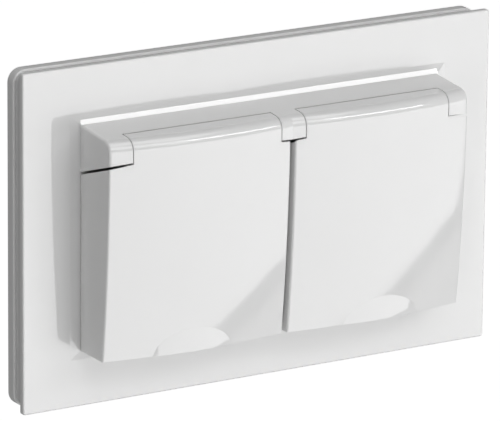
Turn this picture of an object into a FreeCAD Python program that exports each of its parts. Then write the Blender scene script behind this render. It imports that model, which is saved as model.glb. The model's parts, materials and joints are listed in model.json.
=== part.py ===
import FreeCAD, Part
import math
import os
import re
import Sketcher
from FreeCAD import Placement, Rotation, Vector

# Double wall socket with two spring-closed hinged lids.
# Frame: X to the right, Y into the wall, Z up; the wall's surface is the plane y = 0.
# A depth in the names and comments below is a distance out from the wall, so y = -depth.

os.makedirs("parts", exist_ok=True)
doc = FreeCAD.newDocument("WallSocket")

SIZES = {
    # front plate and the frame behind it
    "plate_width": 125.2,
    "plate_height": 80.5,
    "plate_front": 7.8,
    "slab_back": 6.3,
    "slab_corner": 0.6,
    "edge_round": 0.35,
    "rim_back": 2.6,
    "rim_inset": 0.95,
    "rim_flare": 11,
    "rim_corner": 2.6,
    "rim_wall": 2.0,
    "backing_front": 2.6,
    "backing_inset": 0.35,
    "backing_corner": 3.3,
    "opening_width": 99.0,
    "opening_height": 73.6,
    # raised collar and the body on it
    "foot_width": 100.8,
    "foot_height": 58.0,
    "body_width": 95.9,
    "body_height": 53.6,
    "deck_front": 8.15,
    "bevel_rise": 1.05,
    "bevel_out": 0.35,
    # lids
    "lid_gap": 1.3,
    "lid_back": 8.4,
    "lid_round": 0.45,
    "lid_wall": 1.6,
    "lid_pitch": 24.3,
    "crown_front": 23.7,
    "crown_top": 28.0,
    "crown_across": 156.0,
    "crown_down": 490.0,
    "crest_across": 21.8,
    "top_draft": 0.09,
    "top_round": 2.85,
    "side_round": 0.7,
    "lip_across": 18.5,
    "lip_out": 6.0,
    "lip_up": 13.4,
    "lip_sunk": 5.4,
    # hinge
    "axis_out": 19.6,
    "axis_up": 22.4,
    "parting_out": 17.5,
    "strip_play": 0.15,
    "recess_back": 15.2,
    "side_block": 5.65,
    "middle_block": 6.3,
    "block_gap": 0.25,
    "block_foot": 15.67,
    "block_slope": 0.3275,
    "block_nose": 21.5,
    "under_gap": 0.65,
    "under_rise": 1.4,
    "knuckle_radius": 3.6,
    "knuckle_width": 3.0,
    "pin_radius": 0.9,
    "pin_play": 0.06,
    "pin_wall": 1.5,
    "spring_radius": 1.25,
    "wire_thick": 0.5,
    # socket front with its two recesses
    "recess_drop": 3.0,
    "recess_radius": 19.5,
    "recess_wall": 1.2,
    "recess_rim": 18.0,
    "recess_floor": 2.2,
    "plate_lip": 0.5,
    "recess_play": 0.3,
    "flange_back": 4.8,
    "flange_front": 6.2,
    "flange_width": 93.0,
    "flange_height": 52.0,
    "guide_width": 5.0,
    "guide_out": 2.4,
    "pole_hole": 2.9,
    "pole_pitch": 9.5,
    "screw_offset": 14.4,
    "screw_radius": 1.5,
    "screw_head": 2.8,
    "screw_sink": 1.2,
    "screw_boss": 3.4,
    # support frame and base
    "sheet_thick": 1.0,
    "strap_width": 50.0,
    "strap_reach": 36.5,
    "crank_at": 25.2,
    "bar_low": 17.5,
    "ear_width": 22.0,
    "slot_pitch": 30.0,
    "slot_length": 7.5,
    "slot_width": 3.9,
    "web_width": 10.0,
    "base_radius": 31.4,
    "base_height": 47.0,
    "base_back": 24.0,
    "base_cover": 2.0,
    "base_screw_across": 15.0,
    "base_screw_up": 20.6,
    # live and earth parts
    "sleeve_radius": 3.0,
    "sleeve_bore": 2.35,
    "sleeve_front": 4.0,
    "rail_back": 17.0,
    "rail_thick": 0.8,
    "cell_radius": 3.4,
    "block_size": 7.0,
    "block_front": 12.0,
    "block_back": 21.0,
    "wire_hole": 1.7,
    "strip_thick": 0.8,
    "strip_width": 6.0,
    "clip_pitch": 16.8,
    "clip_reach": 13.0,
    "earth_out": 12.5,
    "earth_line": 0.5,
}

sheet = doc.addObject("Spreadsheet::Sheet", "Sizes")
for row, (alias, value) in enumerate(SIZES.items(), start=1):
    sheet.set(f"A{row}", alias)
    sheet.set(f"B{row}", str(value))
    sheet.setAlias(f"B{row}", alias)
doc.recompute()


def bound(text):
    """The expression with each driving dimension taken from the sheet."""
    return re.sub(r"[a-z_]+", lambda m: f"Sizes.{m.group()}" if m.group() in SIZES else m.group(), str(text))


def number(text):
    """The value that an expression has now."""
    return float(sheet.evalExpression(bound(text)))


def bind(item, **sizes):
    for key, text in sizes.items():
        item.setExpression(key, bound(text))
    return item


def place(item, x, y, z):
    for axis, text in zip("xyz", (x, y, z)):
        item.setExpression(f"Placement.Base.{axis}", bound(text))
    return item


def box(name, x, depth, z):
    """A block between two places along X, out from the wall and along Z."""
    item = doc.addObject("Part::Box", name)
    bind(item, Length=f"({x[1]}) - ({x[0]})", Width=f"({depth[1]}) - ({depth[0]})",
         Height=f"({z[1]}) - ({z[0]})")
    return place(item, x[0], f"-({depth[1]})", z[0])


TURNS = {"x": Rotation(Vector(0, 1, 0), 90), "out": Rotation(Vector(1, 0, 0), 90), "z": Rotation()}


def rod(name, axis, radius, ends, x="0", depth="0", z="0"):
    """A round bar along X, out from the wall or along Z, between two places on that axis."""
    item = doc.addObject("Part::Cylinder", name)
    item.Placement = Placement(Vector(), TURNS[axis])
    bind(item, Radius=radius, Height=f"({ends[1]}) - ({ends[0]})")
    start = {"x": (ends[0], f"-({depth})", z), "out": (x, f"-({ends[0]})", z),
             "z": (x, f"-({depth})", ends[0])}
    return place(item, *start[axis])


def fuse(name, *items):
    item = doc.addObject("Part::MultiFuse", name)
    item.Shapes = list(items)
    item.Refine = True
    return item


def common(name, *items):
    item = doc.addObject("Part::MultiCommon", name)
    item.Shapes = list(items)
    return item


def cut(name, base, *tools):
    item = doc.addObject("Part::Cut", name)
    item.Base = base
    item.Tool = tools[0] if len(tools) == 1 else fuse(name + "_tools", *tools)
    return item


def group(name, items):
    """Like pieces kept as separate solids of one sub-part."""
    item = doc.addObject("Part::Compound", name)
    item.Links = items
    return item


def mirrored(name, source):
    item = doc.addObject("Part::Mirroring", name)
    item.Source = source
    item.Base = Vector()
    item.Normal = Vector(1, 0, 0)
    return item


def rounded(name, source, radius, wanted):
    """Fillets of one radius on the edges whose middle and direction are wanted."""
    doc.recompute()
    size = number(radius)
    chosen = []
    for index, edge in enumerate(source.Shape.Edges, start=1):
        middle = edge.valueAt((edge.FirstParameter + edge.LastParameter) / 2)
        along = edge.tangentAt((edge.FirstParameter + edge.LastParameter) / 2)
        if wanted(Vector(middle.x, -middle.y, middle.z), along, edge):
            chosen.append((index, size, size))
    item = doc.addObject("Part::Fillet", name)
    item.Base = source
    item.Edges = chosen
    return item


def sketch(body, name, role, offset="0"):
    """A sketch on one of the body's own origin planes, moved along that plane's normal."""
    item = body.newObject("Sketcher::SketchObject", name)
    plane = [p for p in body.Origin.OriginFeatures if p.Role == role][0]
    item.AttachmentSupport = [(plane, "")]
    item.MapMode = "FlatFace"
    item.setExpression("AttachmentOffset.Base.z", bound(offset))
    return item


def tie(item, kind, geometry, point, text, label):
    """A distance from the sketch's origin to a point, held by an expression."""
    at = item.addConstraint(Sketcher.Constraint(kind, -1, 1, geometry, point, number(text)))
    item.renameConstraint(at, label)
    item.setExpression(f"Constraints.{label}", bound(text))


def limit(item, kind, geometry, text, label):
    """A radius held by an expression."""
    at = item.addConstraint(Sketcher.Constraint(kind, geometry, number(text)))
    item.renameConstraint(at, label)
    item.setExpression(f"Constraints.{label}", bound(text))


def outline(item, points):
    """A closed outline of straight lines whose corners are held by expressions."""
    start = item.GeometryCount
    spots = [Vector(number(a), number(b), 0) for a, b in points]
    for index, spot in enumerate(spots):
        item.addGeometry(Part.LineSegment(spot, spots[(index + 1) % len(spots)]))
    for index, (a, b) in enumerate(points):
        after = start + (index + 1) % len(points)
        item.addConstraint(Sketcher.Constraint("Coincident", start + index, 2, after, 1))
        tie(item, "DistanceX", start + index, 1, a, f"across{start + index}")
        tie(item, "DistanceY", start + index, 1, b, f"up{start + index}")


def rectangle(item, width, height, x="0", z="0"):
    left, right = f"({x}) - ({width}) / 2", f"({x}) + ({width}) / 2"
    low, high = f"({z}) - ({height}) / 2", f"({z}) + ({height}) / 2"
    outline(item, [(left, low), (right, low), (right, high), (left, high)])


def circle(item, radius, x, z):
    at = item.addGeometry(Part.Circle(Vector(number(x), number(z), 0), Vector(0, 0, 1), number(radius)))
    tie(item, "DistanceX", at, 3, x, f"across{at}")
    tie(item, "DistanceY", at, 3, z, f"up{at}")
    limit(item, "Radius", at, radius, f"radius{at}")


def feature(body, kind, name, profile, length, **options):
    """A pad or a pocket of a sketch; both run along the sketch's normal unless turned round."""
    item = body.newObject("PartDesign::" + kind, name)
    item.Profile = profile
    bind(item, Length=length)
    for key, value in options.items():
        setattr(item, key, value)
    body.Tip = item
    return item


def corner_fillet(body, name, source, radius, wanted):
    """A fillet inside a body on the edges whose middle and direction are wanted."""
    doc.recompute()
    names = []
    for index, edge in enumerate(source.Shape.Edges, start=1):
        middle = edge.valueAt((edge.FirstParameter + edge.LastParameter) / 2)
        along = edge.tangentAt((edge.FirstParameter + edge.LastParameter) / 2)
        if wanted(Vector(middle.x, -middle.y, middle.z), along, edge):
            names.append(f"Edge{index}")
    item = body.newObject("PartDesign::Fillet", name)
    item.Base = (source, names)
    bind(item, Radius=radius)
    body.Tip = item
    return item


def outward(point, along, edge):
    return abs(along.y) > 0.9


def crowned_form(name, wall):
    """The right-hand form of lid and hinge housing, or its core where wall is the thickness outside it.

    Its front is one arc across, turned about a far axis, so that it is crowned both ways.
    """
    body = doc.addObject("PartDesign::Body", name + "_crown")
    plan = sketch(body, name + "_plan", "XY_Plane", "crown_top")
    inner = "-1" if wall == "0" else f"lid_gap / 2 + {wall}"
    outer = f"body_width / 2 - {wall}"
    middle = "crown_across - crown_front"
    radius = f"crown_across - {wall}"
    back = 10

    def front(x):
        return number(middle) - (number(radius) ** 2 - (x - number("crest_across")) ** 2) ** 0.5

    left = Vector(number(inner), front(number(inner)), 0)
    right = Vector(number(outer), front(number(outer)), 0)
    crest = Vector(number("crest_across"), front(number("crest_across")), 0)
    plan.addGeometry(Part.Arc(left, crest, right))
    plan.addGeometry(Part.LineSegment(right, Vector(right.x, back, 0)))
    plan.addGeometry(Part.LineSegment(Vector(right.x, back, 0), Vector(left.x, back, 0)))
    plan.addGeometry(Part.LineSegment(Vector(left.x, back, 0), left))
    first, last = (1, 2) if plan.Geometry[0].StartPoint.x < plan.Geometry[0].EndPoint.x else (2, 1)
    for a, b in (((0, last), (1, 1)), ((1, 2), (2, 1)), ((2, 2), (3, 1)), ((3, 2), (0, first))):
        plan.addConstraint(Sketcher.Constraint("Coincident", *a, *b))
    plan.addConstraint(Sketcher.Constraint("Vertical", 1))
    plan.addConstraint(Sketcher.Constraint("Horizontal", 2))
    plan.addConstraint(Sketcher.Constraint("Vertical", 3))
    tie(plan, "DistanceX", 0, 3, "crest_across", "crown_across")
    tie(plan, "DistanceY", 0, 3, middle, "crown_back")
    tie(plan, "DistanceX", 1, 2, outer, "outer_side")
    tie(plan, "DistanceX", 3, 1, inner, "inner_side")
    tie(plan, "DistanceY", 1, 2, back, "back")
    limit(plan, "Radius", 0, radius, "crown_radius")
    hub = "crown_down - crown_front"
    axis = plan.addGeometry(Part.LineSegment(Vector(0, number(hub), 0), Vector(back, number(hub), 0)), True)
    for point, x in ((1, 0), (2, back)):
        tie(plan, "DistanceX", axis, point, x, f"hub_across{point}")
        tie(plan, "DistanceY", axis, point, hub, f"hub_back{point}")
    turn = body.newObject("PartDesign::Revolution", name + "_turn")
    turn.Profile = plan
    turn.ReferenceAxis = (plan, ["Axis0"])
    turn.Type = "TwoAngles"
    turn.Angle = 9
    turn.Angle2 = 1
    body.Tip = turn

    low, high = f"{wall} - body_height / 2", f"body_height / 2 - {wall}"
    side = prism(name + "_side", "0 - 2", "body_width / 2 + 2", [
        ("deck_front - 2", low), ("deck_front - 2", high), ("deck_front", high),
        ("deck_front + 20", f"{high} - 20 * top_draft"), ("deck_front + 20", low),
    ])
    block = common(name + "_block", body, side)
    return rounded(name + "_form", block, f"top_round - {wall}", top_front)


def prism(name, start, end, points):
    """A solid of one side outline, given as depths and heights, between two places along X."""
    body = doc.addObject("PartDesign::Body", name)
    side = sketch(body, name + "_outline", "YZ_Plane", start)
    outline(side, [(f"-({depth})", height) for depth, height in points])
    feature(body, "Pad", name + "_pad", side, f"({end}) - ({start})")
    return body


def top_front(point, along, edge):
    """The long edge where the top meets the crowned front."""
    return abs(along.x) > 0.9 and point.y > 20 and point.z > 20 and edge.Length > 20


def block_line(depth, drop="0"):
    """The height of the hinge blocks' sloping underside at a depth."""
    return f"block_foot + block_slope * ({depth} - deck_front) - ({drop})"


outer_form = crowned_form("outer", "0")
inner_form = crowned_form("inner", "lid_wall")
outer_side = "body_width / 2"
channel = ("middle_block / 2", "body_width / 2 - side_block")
hinge = {"depth": "axis_out", "z": "axis_up"}
forward = "crown_front + 5"
strip_start, strip_end = "middle_block / 2 + block_gap", "body_width / 2 - side_block - block_gap"

# Hinge housing: the form above the blocks' sloping underside, opened between the blocks for the lid's strip.
housing_limits = prism("housing_limits", "0", "body_width / 2 + 1", [
    ("deck_front - 1", block_line("deck_front - 1")), ("deck_front - 1", "body_height / 2 + 1"),
    (forward, "body_height / 2 + 1"), (forward, block_line("crown_front + 9")),
    ("block_nose", block_line("block_nose")),
])
housing_solid = common("housing_solid", outer_form, housing_limits)
housing_soft = rounded("housing_soft", housing_solid, "side_round", lambda p, a, e:
                       abs(a.y) > 0.8 and p.x > 47 and p.z > 25 and e.Length > 5)
strip_edge = "body_height / 2 - top_draft * (parting_out - deck_front)"
cavity_radius = f"sqrt((axis_out - parting_out) ^ 2 + ({strip_edge} - axis_up) ^ 2) + strip_play"
cavity = rod("cavity", "x", cavity_radius, channel, **hinge)
recess = box("recess", channel, ("recess_back", forward), (0, "axis_up - 1"))
pin_bore = rod("pin_bore", "x", "pin_radius", (1, "body_width / 2 - pin_wall"), **hinge)
core_low, core_high = "axis_up - 2.8", "body_height / 2 - 2.1"
cores = [
    box("core_inner", ("middle_block / 2 + 1.8", "lid_pitch - 1"), ("rim_back", "recess_back - 2"),
        (core_low, core_high)),
    box("core_outer", ("lid_pitch + 1", "body_width / 2 - side_block - 1.8"), ("rim_back", "recess_back - 2"),
        (core_low, core_high)),
]
housing_half = cut("housing_half", housing_soft, cavity, recess, pin_bore)

# Right lid: the part of the form below the blocks and in front of the parting line, hollowed from behind.
lower = prism("lid_lower", "lid_gap / 2", "body_width / 2 + 1", [
    ("lid_back", "0 - body_height / 2 - 1"), ("lid_back", block_line("lid_back", "under_gap")),
    ("block_nose", block_line("block_nose", "under_gap")),
    (forward, block_line("crown_front + 9", "0 - under_rise")), (forward, "0 - body_height / 2 - 1"),
])
upper = box("lid_upper", (strip_start, strip_end), ("parting_out", forward), ("0", "body_height / 2 + 1"))
lid_limits = fuse("lid_limits", lower, upper)
lid_cut = common("lid_cut", outer_form, lid_limits)
lid_outer = rounded("lid_outer", lid_cut, "lid_round", lambda p, a, e:
                    abs(a.z) > 0.9 and p.y > 18 and e.Length > 25)
lid_lip = doc.addObject("Part::Ellipsoid", "lid_lip")
lean = math.degrees(math.asin(number("(crown_top + body_height / 2) / crown_down")))
lid_lip.Placement = Placement(Vector(), Rotation(Vector(1, 0, 0), lean))
bind(lid_lip, Radius1="lip_up", Radius2="lip_across", Radius3="lip_out")
lid_lip.Angle1, lid_lip.Angle2, lid_lip.Angle3 = -90, 90, 360
lip_face = "crown_front - (crown_top + body_height / 2) ^ 2 / (2 * crown_down)"
place(lid_lip, "lid_pitch", f"lip_sunk - ({lip_face})", "0 - body_height / 2")
lip_limits = box("lip_limits", ("lid_gap / 2", outer_side), (12, 30), ("0 - body_height / 2", 0))
lip = common("lip", lid_lip, lip_limits)
lid_full = fuse("lid_full", lid_outer, lip)

knuckles = [
    rod("knuckle_inner", "x", "knuckle_radius", (strip_start, f"{strip_start} + knuckle_width"), **hinge),
    rod("knuckle_outer", "x", "knuckle_radius", (f"{strip_end} - knuckle_width", strip_end), **hinge),
]
knuckle_form = common("knuckle_form", outer_form, fuse("knuckle_pair", *knuckles))
lid_shell = cut("lid_shell", lid_full, inner_form)
lid_bore = rod("lid_bore", "x", "pin_radius + pin_play", ("lid_gap / 2", outer_side), **hinge)
lid_right = cut("lid_right", fuse("lid_joined", lid_shell, knuckle_form), lid_bore)
lid_left = mirrored("lid_left", lid_right)

# Cover frame: plate with a flared rim, raised collar, decks for the two recesses and the hinge housing.
plate = doc.addObject("PartDesign::Body", "plate")
rim_outline = sketch(plate, "rim_outline", "XZ_Plane", "rim_back")
rectangle(rim_outline, "plate_width - 2 * rim_inset", "plate_height - 2 * rim_inset")
rim = feature(plate, "Pad", "rim", rim_outline, "slab_back - rim_back")
bind(rim, TaperAngle="rim_flare")
corner_fillet(plate, "rim_corners", rim, "rim_corner", outward)
slab_outline = sketch(plate, "slab_outline", "XZ_Plane", "slab_back")
rectangle(slab_outline, "plate_width", "plate_height")
slab = feature(plate, "Pad", "slab", slab_outline, "plate_front - slab_back")
slab_corners = corner_fillet(plate, "slab_corners", slab, "slab_corner", lambda p, a, e:
                             abs(a.y) > 0.95 and p.y > number("slab_back") and abs(p.x) > 60)
corner_fillet(plate, "front_edges", slab_corners, "edge_round", lambda p, a, e:
              p.y > number("plate_front") - 0.01)
hollow_outline = sketch(plate, "hollow_outline", "XZ_Plane", "slab_back")
rectangle(hollow_outline, "plate_width - 2 * rim_inset - 2 * rim_wall",
          "plate_height - 2 * rim_inset - 2 * rim_wall")
feature(plate, "Pocket", "hollow", hollow_outline, "slab_back - rim_back")
rib_outline = sketch(plate, "rib_outline", "XZ_Plane", "rim_back + 0.6")
rib_height = 1.2
for across in (-1, 1):
    for up in (-2, -0.75, 0.75, 2):
        rectangle(rib_outline, "plate_width / 2 - flange_width / 2 - rim_wall - 1", rib_height,
                  f"{across} * (plate_width + flange_width) / 4", f"{up} * 13")
feature(plate, "Pad", "ribs", rib_outline, "slab_back - rim_back - 0.4")

collar = doc.addObject("Part::Wedge", "collar")
bind(collar, Ymin="0", Ymax="deck_front - plate_front",
     Xmin="0 - foot_width / 2", Xmax="foot_width / 2", Zmin="0 - foot_height / 2", Zmax="foot_height / 2",
     X2min="0 - body_width / 2", X2max="body_width / 2", Z2min="0 - body_height / 2", Z2max="body_height / 2")
collar.Placement = Placement(Vector(), Rotation(Vector(0, 0, 1), 180))
place(collar, 0, "-plate_front", 0)
housing_left = mirrored("housing_left", housing_half)

# Bevel along the foot of the body's top face.
slope_depth = "deck_front - (deck_front - plate_front) * bevel_rise / (foot_height - body_height) * 2"
bevel = prism("bevel", f"0 - {outer_side}", outer_side, [
    ("plate_front", "body_height / 2 - 0.5"), ("deck_front + bevel_out", "body_height / 2 - 0.5"),
    ("deck_front + bevel_out", "body_height / 2 - top_draft * bevel_out"),
    (slope_depth, "body_height / 2 + bevel_rise"),
    ("plate_front", "body_height / 2 + bevel_rise"),
])

deck_radius = "recess_radius + recess_wall + recess_play"
deck_holes = []
for name, side in (("left", -1), ("right", 1)):
    deck_holes.append(rod(f"deck_hole_{name}", "out", deck_radius, (0, "axis_out"), x=f"{side} * lid_pitch",
                          z="0 - recess_drop"))
for name, side in (("upper", 1), ("lower", -1)):
    up = f"{side} * screw_offset - recess_drop"
    deck_holes.append(rod(f"cover_hole_{name}", "out", "screw_radius + 0.2", (0, "deck_front + 1"), z=up))
    deck_holes.append(rod(f"cover_sink_{name}", "out", "screw_head + 0.25",
                          ("deck_front - screw_sink", "deck_front + 1"), z=up))
core_left = [mirrored(item.Name + "_left", item) for item in cores]
cover_frame = cut("cover_frame", fuse("cover_solid", plate, collar, housing_half, housing_left, bevel),
                  *deck_holes, *cores, *core_left)

# Backing frame: the flat frame against the wall, behind the dark parting line all round the plate.
backing = doc.addObject("PartDesign::Body", "backing_frame")
backing_outline = sketch(backing, "backing_outline", "XZ_Plane")
rectangle(backing_outline, "plate_width - 2 * backing_inset", "plate_height - 2 * backing_inset")
slab_back_pad = feature(backing, "Pad", "backing_slab", backing_outline, "backing_front")
backing_corners = corner_fillet(backing, "backing_corners", slab_back_pad, "backing_corner", outward)
corner_fillet(backing, "backing_edges", backing_corners, "edge_round", lambda p, a, e:
              p.y > number("backing_front") - 0.01)
opening_outline = sketch(backing, "opening_outline", "XZ_Plane", "backing_front")
rectangle(opening_outline, "opening_width", "opening_height")
opening = feature(backing, "Pocket", "opening", opening_outline, "backing_front")
corner_fillet(backing, "opening_corners", opening, "backing_corner", lambda p, a, e:
              abs(a.y) > 0.9 and abs(p.x) < 51 and abs(p.z) < 38 and e.Curve.TypeId == "Part::GeomLine")

# Socket front: flange and two round recesses with their guide ribs and a seat behind for the floor plates.
front = doc.addObject("PartDesign::Body", "socket_front")
flange_outline = sketch(front, "flange_outline", "XZ_Plane", "flange_back")
rectangle(flange_outline, "flange_width", "flange_height")
flange = feature(front, "Pad", "flange", flange_outline, "flange_front - flange_back")
corner_fillet(front, "flange_corners", flange, "rim_corner", outward)
pots_outline = sketch(front, "pots_outline", "XZ_Plane")
bosses_outline = sketch(front, "bosses_outline", "XZ_Plane")
wells_outline = sketch(front, "wells_outline", "XZ_Plane", "recess_rim")
seats_outline = sketch(front, "seats_outline", "XZ_Plane")
guides_outline = sketch(front, "guides_outline", "XZ_Plane", "recess_floor")
groove_outline = sketch(front, "groove_outline", "XZ_Plane")
holes_outline = sketch(front, "holes_outline", "XZ_Plane", "flange_front")
centre_up = "0 - recess_drop"
for side in (-1, 1):
    across = f"{side} * lid_pitch"
    circle(pots_outline, "recess_radius + recess_wall", across, centre_up)
    circle(wells_outline, "recess_radius", across, centre_up)
    circle(seats_outline, "recess_radius + plate_lip", across, centre_up)
    for up in (-1, 1):
        rectangle(guides_outline, "guide_width", "guide_out + 0.6", across,
                  f"{up} * (recess_radius + 0.3 - guide_out / 2) - recess_drop")
    circle(bosses_outline, "screw_boss", 0, f"{side} * screw_offset - recess_drop")
    circle(holes_outline, "screw_radius + 0.1", 0, f"{side} * screw_offset - recess_drop")
rectangle(groove_outline, "2 * (lid_pitch + clip_pitch) + 3.4", "strip_width + 0.8", 0, centre_up)
feature(front, "Pad", "pots", pots_outline, "recess_rim")
feature(front, "Pad", "bosses", bosses_outline, "flange_front")
feature(front, "Pocket", "wells", wells_outline, "recess_rim + 1")
feature(front, "Pocket", "seats", seats_outline, "recess_floor", Reversed=True)
feature(front, "Pad", "guides", guides_outline, "recess_rim - recess_floor - 1.7")
feature(front, "Pocket", "groove", groove_outline, "strip_thick + 0.3", Reversed=True)
feature(front, "Pocket", "screw_holes", holes_outline, "flange_front + 1")

# Floor plates: each closes a recess from behind and has its pole holes, clip slots and strap groove.
strip_room = (f"{centre_up} - strip_width / 2 - 0.4", f"{centre_up} + strip_width / 2 + 0.4")
plates = []
for name, side in (("left", -1), ("right", 1)):
    across = f"{side} * lid_pitch"
    edges = (f"{across} - recess_radius - 1", f"{across} + recess_radius + 1")
    plate_tools = [box(f"plate_groove_{name}", edges, (-1, "strip_thick + 0.3"), strip_room)]
    for hand in (-1, 1):
        slot = f"{across} + {hand} * (clip_pitch + 0.1)"
        plate_tools.append(box(f"clip_slot_{name}_{hand + 1}", (f"{slot} - 1.3", f"{slot} + 1.3"),
                               (-1, "recess_floor + 1"), strip_room))
        plate_tools.append(rod(f"pole_way_{name}_{hand + 1}", "out", "pole_hole", (-1, "recess_floor + 1"),
                               x=across, z=f"{hand} * pole_pitch - recess_drop"))
    disc = rod(f"plate_disc_{name}", "out", "recess_radius + plate_lip - 0.05", (0, "recess_floor"), x=across,
               z=centre_up)
    plates.append(cut(f"floor_plate_{name}", disc, *plate_tools))
floor_plates = group("floor_plates", plates)

# Support frame: pressed steel, its ears cranked forward to rest on the wall around the box.
strip_side = prism("strip_side", "0 - strap_width / 2", "strap_width / 2", [
    ("0", "crank_at - sheet_thick"), ("sheet_thick", "crank_at"), ("sheet_thick", "strap_reach"),
    ("0", "strap_reach"),
    ("0", "crank_at + 0.4"), ("0 - sheet_thick", "crank_at - sheet_thick + 0.4"),
    ("0 - sheet_thick", "0 - crank_at + sheet_thick - 0.4"), ("0", "0 - crank_at - 0.4"),
    ("0", "0 - strap_reach"),
    ("sheet_thick", "0 - strap_reach"), ("sheet_thick", "0 - crank_at"), ("0", "0 - crank_at + sheet_thick"),
])
strip_plan = [
    box("strap_web", ("0 - web_width / 2", "web_width / 2"), (-3, 3), ("0 - crank_at", "crank_at")),
    box("strap_ears", ("0 - ear_width / 2", "ear_width / 2"), (-3, 3), ("0 - strap_reach", "strap_reach")),
]
between_bars = box("between_bars", (-40, 40), (-4, 4), ("0 - bar_low", "bar_low"))
strap_disc = rod("strap_disc", "out", "base_radius - 0.4", (-3, 3))
plain = common("strap_ears_only", strip_side, cut("strap_ear_plan", strip_plan[1], between_bars))
bars = common("strap_bars", strip_side, cut("strap_bar_plan", strap_disc, between_bars))
web = common("strap_web_only", strip_side, strip_plan[0])
strap_solid = fuse("strap_solid", plain, bars, web)
strap_tools = []
for name, side in (("upper", 1), ("lower", -1)):
    middle, half = f"{side} * slot_pitch", "(slot_length - slot_width) / 2"
    strap_tools.append(box(f"slot_{name}", ("0 - slot_width / 2", "slot_width / 2"), (-3, 3),
                           (f"{middle} - {half}", f"{middle} + {half}")))
    for end in (-1, 1):
        strap_tools.append(rod(f"slot_end_{name}_{end + 1}", "out", "slot_width / 2", (-3, 3),
                               z=f"{middle} + {end} * {half}"))
    strap_tools.append(rod(f"strap_thread_{name}", "out", "screw_radius", (-3, 3),
                           z=f"{side} * screw_offset - recess_drop"))
    for across in (-1, 1):
        strap_tools.append(rod(f"strap_hole_{name}_{across + 1}", "out", "screw_radius", (-3, 3),
                               x=f"{across} * base_screw_across", z=f"{side} * base_screw_up"))
strap_tools.append(rod("strap_rivet_hole", "out", "screw_radius", (-3, 3), z=centre_up))
support_frame = cut("support_frame", strap_solid, *strap_tools)

# Base in the flush box: open at the back, with one cell for each rail and one for the earth terminal.
line_up, neutral_up = "pole_pitch - recess_drop", "0 - pole_pitch - recess_drop"
island_front, base_front = "0 - 0.05", "0 - sheet_thick"
cell_front, back = "0 - 3.2", "0 - base_back"


def base_disc(name, ends, play="0"):
    disc = rod(name + "_disc", "out", f"base_radius - {play}", ends)
    slab = box(name + "_slab", ("0 - base_radius", "base_radius"), ends,
               ("0 - base_height / 2", "base_height / 2"))
    return common(name, disc, slab)


base_tools = [
    box("base_web_seat", ("0 - web_width / 2 - 0.2", "web_width / 2 + 0.2"), (base_front, 1),
        ("0 - base_height", "base_height")),
]
for name, side in (("upper", 1), ("lower", -1)):
    low, high = sorted((f"{side} * (bar_low - 0.2)", f"{side} * base_height"), key=number)
    base_tools.append(box(f"base_bar_seat_{name}", ("0 - base_radius", "base_radius"), (base_front, 1),
                          (low, high)))
    base_tools.append(rod(f"base_screw_way_{name}", "out", "screw_radius + 0.3", ("0 - 2.6", 1),
                          z=f"{side} * screw_offset - recess_drop"))
    for across in (-1, 1):
        base_tools.append(rod(f"base_hole_{name}_{across + 1}", "out", "screw_radius + 0.2",
                              (f"{back} - 1", 1),
                              x=f"{across} * base_screw_across", z=f"{side} * base_screw_up"))
base_tools.append(rod("base_rivet_way", "out", "screw_head", ("0 - 2.8", 1), z=centre_up))
for name, up, outside in (("line", line_up, 1), ("neutral", neutral_up, -1)):
    base_tools.append(box(f"{name}_cell", ("0 - lid_pitch", "lid_pitch"), (f"{back} - 1", cell_front),
                          (f"{up} - cell_radius", f"{up} + cell_radius")))
    base_tools.append(box(f"{name}_block_cell", ("0 - block_size / 2 - 0.6", "block_size / 2 + 0.6"),
                          (f"{back} - 1", "0 - block_front + 2"),
                          (f"{up} - block_size / 2 - 0.5", f"{up} + block_size / 2 + 0.5")))
    low, high = sorted((up, f"{outside} * base_height"), key=number)
    base_tools.append(rod(f"{name}_screw_way", "z", "screw_head", (low, high),
                          depth="0 - (block_front + block_back) / 2"))
    for side in (-1, 1):
        base_tools.append(rod(f"{name}_cell_end_{side + 1}", "out", "cell_radius",
                              (f"{back} - 1", cell_front), x=f"{side} * lid_pitch", z=up))
        base_tools.append(rod(f"{name}_way_{side + 1}", "out", "pole_hole", (f"{back}", 1),
                              x=f"{side} * lid_pitch", z=up))
earth_block = ("earth_out - block_size / 2", "earth_out + block_size / 2")
base_tools.append(box("earth_cell", ("earth_out - block_size / 2 - 0.5", "earth_out + block_size / 2 + 0.5"),
                      (f"{back} - 1", 1),
                      (f"{centre_up} - strip_width / 2 - 0.4", f"{centre_up} + strip_width / 2 + 0.4")))
base_tools.append(rod("earth_screw_way", "x", "screw_head", ("earth_out", "base_radius + 1"), depth="0 - 8.5",
                      z=centre_up))
socket_base = cut("socket_base", base_disc("base_body", (back, island_front)), *base_tools)

# Cover that closes the base from behind, with an entry for each wire.
cover_ends = ("0 - base_back - base_cover", back)
cover_tools = [rod(f"entry_{name}", "out", "wire_hole + 0.8", ("0 - base_back - base_cover - 1", back), x=x,
                   z=up)
               for name, x, up in (("line", 0, line_up), ("neutral", 0, neutral_up),
                                   ("earth", "earth_out", centre_up))]
for name, side in (("upper", 1), ("lower", -1)):
    for across in (-1, 1):
        cover_tools.append(rod(f"rear_hole_{name}_{across + 1}", "out", "screw_radius + 0.2",
                               ("0 - base_back - base_cover - 1", back),
                               x=f"{across} * base_screw_across", z=f"{side} * base_screw_up"))
rear_cover = cut("rear_cover", base_disc("rear_plate", cover_ends), *cover_tools)


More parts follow.
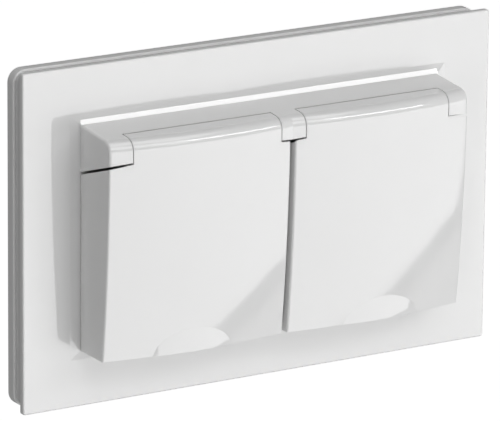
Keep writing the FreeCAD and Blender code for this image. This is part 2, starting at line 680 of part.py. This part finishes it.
def rail(name, up, outside):
    """A brass rail: two split sleeves for the pins, the strip that joins them and a terminal block."""
    parts = [box(name + "_strip", ("0 - lid_pitch", "lid_pitch"), ("0 - rail_back", "rail_thick - rail_back"),
                 (f"{up} - sleeve_radius + 0.4", f"{up} + sleeve_radius - 0.4")),
             box(name + "_terminal", ("0 - block_size / 2", "block_size / 2"),
                 ("0 - block_back", "0 - block_front"),
                 (f"{up} - block_size / 2", f"{up} + block_size / 2"))]
    tools = [rod(name + "_wire", "out", "wire_hole", ("0 - block_back - 1", "0 - block_front - 1"), z=up)]
    low, high = sorted((up, f"{up} + {outside} * block_size"), key=number)
    tools.append(rod(name + "_thread", "z", "screw_radius", (low, high),
                     depth="0 - (block_front + block_back) / 2"))
    for side in (-1, 1):
        across = f"{side} * lid_pitch"
        parts.append(rod(f"{name}_sleeve_{side + 1}", "out", "sleeve_radius",
                         ("0 - rail_back", "0 - sleeve_front"), x=across, z=up))
        tools.append(rod(f"{name}_bore_{side + 1}", "out", "sleeve_bore", ("rail_thick - rail_back", 0),
                         x=across, z=up))
        tools.append(box(f"{name}_split_{side + 1}", (f"{across} - 0.35", f"{across} + 0.35"),
                         ("rail_thick + 2 - rail_back", 0),
                         (f"{up} - cell_radius", f"{up} + cell_radius")))
    return cut(name, fuse(name + "_solid", *parts), *tools)


line_rail = rail("line_rail", line_up, 1)
neutral_rail = rail("neutral_rail", neutral_up, -1)

# Earth strap under the floor plates: a springy clip at each side of both recesses and its own terminal.
earth_front, earth_back = "strip_thick + 0.1", "0.1"
earth_parts = [
    box("earth_strip", ("0 - lid_pitch - clip_pitch - 1.4", "lid_pitch + clip_pitch + 1.4"),
        (earth_back, earth_front),
        (f"{centre_up} - strip_width / 2", f"{centre_up} + strip_width / 2")),
    box("earth_post", ("earth_out - 1", "earth_out + 1"), ("0 - 5", earth_front),
        (f"{centre_up} - 2", f"{centre_up} + 2")),
    box("earth_terminal", earth_block, ("0 - 13", "0 - 4"),
        (f"{centre_up} - strip_width / 2", f"{centre_up} + strip_width / 2")),
]
for side in (-1, 1):
    for hand in (-1, 1):
        foot = f"{side} * lid_pitch + {hand} * clip_pitch"
        body = doc.addObject("PartDesign::Body", f"clip_{side + 1}_{hand + 1}")
        leaf = sketch(body, f"leaf_{side + 1}_{hand + 1}", "XY_Plane", f"{centre_up} - strip_width / 2")
        lean, thick = f"{hand} * 1.6", f"{hand} * 0.7"
        outline(leaf, [
            (foot, "0 - earth_line"), (f"{foot} + {thick}", "0 - earth_line"),
            (f"{foot} + {thick} - {lean}", "4 - clip_reach"),
            (f"{foot} + {thick}", "0 - clip_reach"), (foot, "0 - clip_reach"),
            (f"{foot} - {lean}", "4 - clip_reach"),
        ])
        feature(body, "Pad", f"leaf_pad_{side + 1}_{hand + 1}", leaf, "strip_width")
        earth_parts.append(body)
earth_tools = [
    rod("earth_rivet_hole", "out", "screw_radius", (-1, 3), z=centre_up),
    rod("earth_wire", "out", "wire_hole", ("0 - 14", "0 - 6.5"), x="earth_out", z=centre_up),
    rod("earth_thread", "x", "screw_radius", ("earth_out", "earth_out + block_size"), depth="0 - 8.5",
        z=centre_up),
]
earth_strap = cut("earth_strap", fuse("earth_solid", *earth_parts), *earth_tools)


def screw(name, axis, ends, head, x="0", depth="0", z="0"):
    """A cheese-head screw with a slot: its ends along the axis and the side of its head."""
    shank = rod(name + "_shank", axis, "screw_radius", ends, x=x, depth=depth, z=z)
    top = ends[1] if head > 0 else ends[0]
    low, high = (top, f"{top} + screw_sink") if head > 0 else (f"{top} - screw_sink", top)
    cap = rod(name + "_head", axis, "screw_head - 0.2", (low, high), x=x, depth=depth, z=z)
    low, high = (f"{top} + 0.6", f"{top} + 2") if head > 0 else (f"{top} - 2", f"{top} - 0.6")
    if axis == "out":
        slot = box(name + "_slot", (f"{x} - 3", f"{x} + 3"), (low, high), (f"{z} - 0.35", f"{z} + 0.35"))
    elif axis == "z":
        slot = box(name + "_slot", (f"{x} - 3", f"{x} + 3"), (f"{depth} - 0.35", f"{depth} + 0.35"),
                   (low, high))
    else:
        slot = box(name + "_slot", (low, high), (f"{depth} - 0.35", f"{depth} + 0.35"),
                   (f"{z} - 3", f"{z} + 3"))
    return cut(name, fuse(name + "_blank", shank, cap), slot)


cover_screws = group("cover_screws", [
    screw(f"cover_screw_{name}", "out", ("0 - 2.3", "deck_front - screw_sink"), 1,
          z=f"{side} * screw_offset - recess_drop")
    for name, side in (("upper", 1), ("lower", -1))])
base_screws = group("base_screws", [
    screw(f"base_screw_{name}_{across + 1}", "out", ("0 - base_back - base_cover", "0 - 0.1"), -1,
          x=f"({across} * base_screw_across)", z=f"({side} * base_screw_up)")
    for name, side in (("upper", 1), ("lower", -1)) for across in (-1, 1)])
terminal_depth = "(0 - (block_front + block_back) / 2)"
terminal_screws = group("terminal_screws", [
    screw("line_screw", "z", (f"{line_up} + wire_hole + 0.2", f"{line_up} + block_size"), 1,
          depth=terminal_depth),
    screw("neutral_screw", "z", (f"{neutral_up} - block_size", f"{neutral_up} - wire_hole - 0.2"), -1,
          depth=terminal_depth),
    screw("earth_screw", "x", ("earth_out + wire_hole + 0.2", "earth_out + block_size"), 1, depth="(0 - 8.5)",
          z=f"({centre_up})")])
rivet_shank = rod("rivet_shank", "out", "screw_radius", ("0 - 2.2", f"{earth_front} + 0.8"), z=centre_up)
rivet_heads = [rod("rivet_front", "out", "screw_head - 0.3", (earth_front, f"{earth_front} + 0.8"),
                   z=centre_up),
               rod("rivet_back", "out", "screw_head - 0.3", ("0 - 2.2", base_front), z=centre_up)]
rivet_spacer = rod("rivet_spacer", "out", "screw_head - 0.3", ("0", earth_back), z=centre_up)
earth_rivet = fuse("earth_rivet", rivet_shank, *rivet_heads, rivet_spacer)

# Hinge pin and closing spring of each lid.
pin_right = rod("hinge_pin_right", "x", "pin_radius", (1, "body_width / 2 - pin_wall"), **hinge)
pin_left = mirrored("hinge_pin_left", pin_right)
doc.recompute()


# Torsion spring: close turns round the hinge pin, one leg on the lid's inside and one on the housing.
coil = doc.addObject("PartDesign::Body", "coil")
turns = sketch(coil, "turns", "XY_Plane")
turn_count = 8
pitch, wire_radius = number("wire_thick") * 0.9, number("wire_thick / 2")
mean, bore = number("spring_radius"), number("spring_radius - wire_thick / 2")
ridge, groove = mean + wire_radius, mean + wire_radius / 2
edges = [Vector(-pitch / 2, bore, 0)]
for turn in range(turn_count):
    edges += [Vector((turn - 0.5) * pitch, groove, 0), Vector((turn - 0.2) * pitch, ridge, 0),
              Vector((turn + 0.2) * pitch, ridge, 0)]
edges += [Vector((turn_count - 0.5) * pitch, groove, 0), Vector((turn_count - 0.5) * pitch, bore, 0)]
for index, corner in enumerate(edges):
    turns.addGeometry(Part.LineSegment(corner, edges[(index + 1) % len(edges)]))
wound = coil.newObject("PartDesign::Revolution", "wound")
wound.Profile = turns
wound.ReferenceAxis = (turns, ["H_Axis"])
wound.Angle = 360
coil.Tip = wound
place(coil, "lid_pitch", "0 - axis_out", "axis_up")
legs = []
for turn, leg_length, towards in ((0, 3.2, Vector(0, -0.75, -1)), (turn_count - 1, 4.2, Vector(0, 1, -0.25))):
    leg = doc.addObject("Part::Cylinder", f"leg_{turn}")
    leg.Placement = Placement(Vector(), Rotation(Vector(0, 0, 1), towards))
    bind(leg, Radius="wire_thick * 0.4", Height=leg_length)
    legs.append(place(leg, f"lid_pitch + {turn * pitch}", "0 - axis_out", "axis_up - spring_radius"))
spring_right = fuse("lid_spring_right", coil, *legs)
spring_left = mirrored("lid_spring_left", spring_right)

SUB_PARTS = [cover_frame, backing, front, floor_plates, support_frame, socket_base, rear_cover, line_rail,
             neutral_rail, earth_strap, cover_screws, base_screws, terminal_screws, earth_rivet, lid_left,
             lid_right, pin_left, pin_right, spring_left, spring_right]

doc.recompute()
faults = [item.Name for item in doc.Objects if {"Invalid", "Error"} & set(item.State)]
faults += [item.Name for item in SUB_PARTS if item.Shape.isNull() or not item.Shape.isValid()]
if faults:
    raise SystemExit("these objects failed: " + ", ".join(faults))
for item in SUB_PARTS:
    item.Shape.exportStep(f"parts/{item.Label}.step")
    print(item.Label, len(item.Shape.Solids), round(item.Shape.Volume, 1))
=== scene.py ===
import json
import math

import bpy
from mathutils import Matrix, Vector

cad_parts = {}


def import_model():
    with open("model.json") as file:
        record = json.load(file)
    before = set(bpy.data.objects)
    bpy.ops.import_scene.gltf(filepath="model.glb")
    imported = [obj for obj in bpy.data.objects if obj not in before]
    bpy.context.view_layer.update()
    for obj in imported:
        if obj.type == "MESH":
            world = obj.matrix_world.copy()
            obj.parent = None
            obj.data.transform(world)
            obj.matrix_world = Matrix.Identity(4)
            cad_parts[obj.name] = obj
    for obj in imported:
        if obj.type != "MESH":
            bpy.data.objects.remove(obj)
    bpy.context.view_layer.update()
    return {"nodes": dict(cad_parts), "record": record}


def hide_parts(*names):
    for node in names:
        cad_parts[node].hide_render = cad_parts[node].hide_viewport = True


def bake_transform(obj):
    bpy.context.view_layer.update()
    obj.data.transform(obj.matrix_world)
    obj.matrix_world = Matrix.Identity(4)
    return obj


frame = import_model()
NODES = frame["nodes"]

# Lengths are in metres. X runs to the right along the wall, Z up, and the room lies on the -Y side.

# The photograph's camera: a long lens, to the left of the plate's normal and above it.
CAMERA_AZIMUTH = math.radians(31.08)
CAMERA_ELEVATION = math.radians(16.04)
CAMERA_ROLL = math.radians(0.527)
CAMERA_DISTANCE = 1.296
CAMERA_ASIDE = 0.00169
CAMERA_ABOVE = -0.00207
CAMERA_REACH = 20.0
LENS = 400.6
SENSOR = 36.0

# Surroundings: the world's strength, and a floor well below the socket.
AMBIENT = 0.175
FLOOR_HEIGHT = -0.8
FLOOR_HALF = 6.0
FLOOR_GLOW = 0.85

# Soft boxes: name, lowest and highest corner, radiance.
LIGHTS = (
    ("front_box", (0.1, -1.2, -0.75), (1.6, -1.2, 0.0), 2.55),
    ("left_fill", (-1.4, -1.2, -0.6), (-0.9, -1.2, 0.3), 2.8),
    ("high_box", (-0.6, -1.2, 0.5), (0.6, -1.0, 0.9), 2.2),
    ("high_strip", (0.5, -1.0, 0.6), (1.0, -0.92, 0.76), 6.5),
    ("overhead", (-0.7, -0.9, 1.2), (0.7, -0.2, 1.2), 1.85),
)

# Colours of the plastics and the floor: the even tone, and the darkest and lightest patch.
WHITE = ((0.76, 0.76, 0.758, 1), (0.75, 0.75, 0.748, 1), (0.77, 0.77, 0.768, 1))
THERMOSET = ((0.60, 0.59, 0.56, 1), (0.56, 0.55, 0.52, 1), (0.64, 0.63, 0.60, 1))
FLOOR_GREY = ((0.8, 0.8, 0.8, 1), (0.79, 0.79, 0.79, 1), (0.81, 0.81, 0.81, 1))
WHITE_ROUGHNESS = 0.05
PLAIN_WHITE = (1, 1, 1, 1)

# Metals: darkest and lightest patch, roughness, scale of the grain.
METALS = {
    "zinc_steel": ((0.50, 0.51, 0.53, 1), (0.66, 0.67, 0.69, 1), 0.32, 400),
    "brass": ((0.66, 0.50, 0.24, 1), (0.80, 0.64, 0.34, 1), 0.28, 500),
    "spring_steel": ((0.40, 0.40, 0.42, 1), (0.56, 0.56, 0.58, 1), 0.3, 800),
}


def material(name, colour, roughness, **inputs):
    """A material whose shader sockets hold the values that are the same all over."""
    made = bpy.data.materials.new(name)
    made.use_nodes = True
    shader = made.node_tree.nodes["Principled BSDF"]
    shader.inputs["Base Color"].default_value = colour
    shader.inputs["Roughness"].default_value = roughness
    for key, value in inputs.items():
        shader.inputs[key.replace("_", " ")].default_value = value
    return made, made.node_tree, shader


def noise(tree, scale, detail=2.0, rough=0.5):
    """A noise texture in the object's own metres."""
    place = tree.nodes.new("ShaderNodeTexCoord")
    made = tree.nodes.new("ShaderNodeTexNoise")
    made.inputs["Scale"].default_value = scale
    made.inputs["Detail"].default_value = detail
    made.inputs["Roughness"].default_value = rough
    tree.links.new(place.outputs["Object"], made.inputs["Vector"])
    return made


def vary_roughness(tree, shader, source, low, high):
    """The texture's middle range mapped to the roughness between two values."""
    made = tree.nodes.new("ShaderNodeMapRange")
    made.inputs["From Min"].default_value = 0.3
    made.inputs["From Max"].default_value = 0.7
    made.inputs["To Min"].default_value = low
    made.inputs["To Max"].default_value = high
    tree.links.new(source.outputs["Fac"], made.inputs["Value"])
    tree.links.new(made.outputs["Result"], shader.inputs["Roughness"])


def bump(tree, shader, source, strength, distance):
    """A fine relief from the texture."""
    made = tree.nodes.new("ShaderNodeBump")
    made.inputs["Strength"].default_value = strength
    made.inputs["Distance"].default_value = distance
    tree.links.new(source.outputs["Fac"], made.inputs["Height"])
    tree.links.new(made.outputs["Normal"], shader.inputs["Normal"])


def mottle(tree, shader, source, dark, light):
    """A slight change of colour over the surface."""
    made = tree.nodes.new("ShaderNodeMix")
    made.data_type = "RGBA"
    factor, first, second = made.inputs[0], made.inputs[6], made.inputs[7]
    first.default_value = dark
    second.default_value = light
    tree.links.new(source.outputs["Fac"], factor)
    tree.links.new(made.outputs[2], shader.inputs["Base Color"])


def gloss_white():
    """Glossy moulded plastic: faint flow marks and a nearly flat skin."""
    even, dark, light = WHITE
    made, tree, shader = material("white_plastic", even, WHITE_ROUGHNESS, Specular_IOR_Level=0.75,
                                  Subsurface_Weight=0.5, Subsurface_Scale=0.0015)
    shader.inputs["Subsurface Radius"].default_value = (1.0, 1.0, 1.0)
    flow = noise(tree, scale=60, detail=3)
    mottle(tree, shader, flow, dark, light)
    vary_roughness(tree, shader, flow, WHITE_ROUGHNESS * 0.85, WHITE_ROUGHNESS * 1.2)
    bump(tree, shader, noise(tree, scale=220), strength=0.03, distance=0.0001)
    return made


def matte_base():
    """Thermoset moulding of the base: fine grain."""
    even, dark, light = THERMOSET
    made, tree, shader = material("base_plastic", even, roughness=0.6)
    grain = noise(tree, scale=900, detail=4)
    mottle(tree, shader, grain, dark, light)
    bump(tree, shader, grain, strength=0.2, distance=0.0001)
    return made


def metal(name, dark, light, roughness, scale):
    """Rolled or drawn metal, dulled a little in patches."""
    made, tree, shader = material(name, light, roughness, Metallic=1.0)
    grain = noise(tree, scale, detail=5, rough=0.6)
    mottle(tree, shader, grain, dark, light)
    vary_roughness(tree, shader, grain, roughness * 0.8, roughness * 1.3)
    bump(tree, shader, noise(tree, scale * 2), strength=0.1, distance=0.00005)
    return made


def dress():
    """Give every solid the material of its slot."""
    finishes = {"white_plastic": gloss_white(), "base_plastic": matte_base()}
    for name, values in METALS.items():
        finishes[name] = metal(name, *values)
    for part in frame["record"]["subparts"]:
        mesh = NODES[part["node"]].data
        mesh.materials.clear()
        mesh.materials.append(finishes[part["material_slot"]])


def closing_spring(side):
    """A copy of the spring's wire as an object of its own; the imported part is hidden."""
    name = "lid_spring_" + side
    wire = bpy.data.objects.new("spring_wire_" + side, NODES[name].data.copy())
    bpy.context.collection.objects.link(wire)
    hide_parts(name)
    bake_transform(wire)


def put(item, x, y, z, origin):
    """Link an item into the scene with these axes and this origin."""
    item.matrix_world = Matrix(((*x, 0), (*y, 0), (*z, 0), (*origin, 1))).transposed()
    bpy.context.collection.objects.link(item)


def camera():
    """The photograph's camera, which looks along its own -Z."""
    a, e, roll = CAMERA_AZIMUTH, CAMERA_ELEVATION, CAMERA_ROLL
    back = Vector((-math.sin(a) * math.cos(e), -math.cos(a) * math.cos(e), math.sin(e)))
    right = Vector((math.cos(a), -math.sin(a), 0))
    up = back.cross(right)
    eye = back * CAMERA_DISTANCE + right * CAMERA_ASIDE + up * CAMERA_ABOVE
    x = right * math.cos(roll) + up * math.sin(roll)
    y = up * math.cos(roll) - right * math.sin(roll)
    data = bpy.data.cameras.new("camera")
    data.lens, data.sensor_width, data.sensor_fit = LENS, SENSOR, "HORIZONTAL"
    data.clip_end = CAMERA_REACH
    item = bpy.data.objects.new("camera", data)
    put(item, x, y, back, eye)
    bpy.context.scene.camera = item


def seen(tree):
    """One for rays straight from the camera, so that the studio shows white without lighting the socket."""
    return tree.nodes.new("ShaderNodeLightPath").outputs["Is Camera Ray"]


def world():
    """An even pale studio that shows as plain white."""
    made = bpy.data.worlds.new("studio")
    made.use_nodes = True
    bpy.context.scene.world = made
    tree = made.node_tree
    lit = tree.nodes["Background"]
    shown = tree.nodes.new("ShaderNodeBackground")
    mixed = tree.nodes.new("ShaderNodeMixShader")
    lit.inputs["Color"].default_value = PLAIN_WHITE
    lit.inputs["Strength"].default_value = AMBIENT
    shown.inputs["Color"].default_value = PLAIN_WHITE
    tree.links.new(seen(tree), mixed.inputs["Fac"])
    tree.links.new(lit.outputs[0], mixed.inputs[1])
    tree.links.new(shown.outputs[0], mixed.inputs[2])
    tree.links.new(mixed.outputs[0], tree.nodes["World Output"].inputs["Surface"])


def floor():
    """A pale floor; its glow, for the camera's rays alone, keeps it white round the socket's shadow."""
    low, high, z = -FLOOR_HALF, FLOOR_HALF, FLOOR_HEIGHT
    mesh = bpy.data.meshes.new("floor")
    mesh.from_pydata([(low, low, z), (high, low, z), (high, high, z), (low, high, z)], [], [(0, 1, 2, 3)])
    item = bpy.data.objects.new("floor", mesh)
    bpy.context.collection.objects.link(item)
    even, dark, light = FLOOR_GREY
    made, tree, shader = material("floor", even, roughness=0.7)
    mottle(tree, shader, noise(tree, scale=8), dark, light)
    glow = tree.nodes.new("ShaderNodeEmission")
    strength = tree.nodes.new("ShaderNodeMath")
    strength.operation = "MULTIPLY"
    strength.inputs[1].default_value = FLOOR_GLOW
    both = tree.nodes.new("ShaderNodeAddShader")
    tree.links.new(seen(tree), strength.inputs[0])
    tree.links.new(strength.outputs[0], glow.inputs["Strength"])
    tree.links.new(shader.outputs[0], both.inputs[0])
    tree.links.new(glow.outputs[0], both.inputs[1])
    tree.links.new(both.outputs[0], tree.nodes["Material Output"].inputs["Surface"])
    mesh.materials.append(made)


def area_light(name, low, high, radiance):
    """A soft rectangle of even radiance between two corners: level along X, lit on the side of the origin."""
    low, high = Vector(low), Vector(high)
    middle = (low + high) / 2
    along = Vector((1, 0, 0))
    across = Vector((0, high.y - low.y, high.z - low.z))
    data = bpy.data.lights.new(name, "AREA")
    data.shape = "RECTANGLE"
    data.size = high.x - low.x
    data.size_y = across.length
    data.energy = radiance * math.pi * data.size * data.size_y
    across.normalize()
    back = along.cross(across)
    if back.dot(middle) < 0:
        across, back = -across, -back
    item = bpy.data.objects.new(name, data)
    item.visible_camera = False
    put(item, along, across, back, middle)


dress()
closing_spring("left")
closing_spring("right")
camera()
world()
floor()
for light in LIGHTS:
    area_light(*light)

bpy.context.scene.view_settings.view_transform = "Standard"
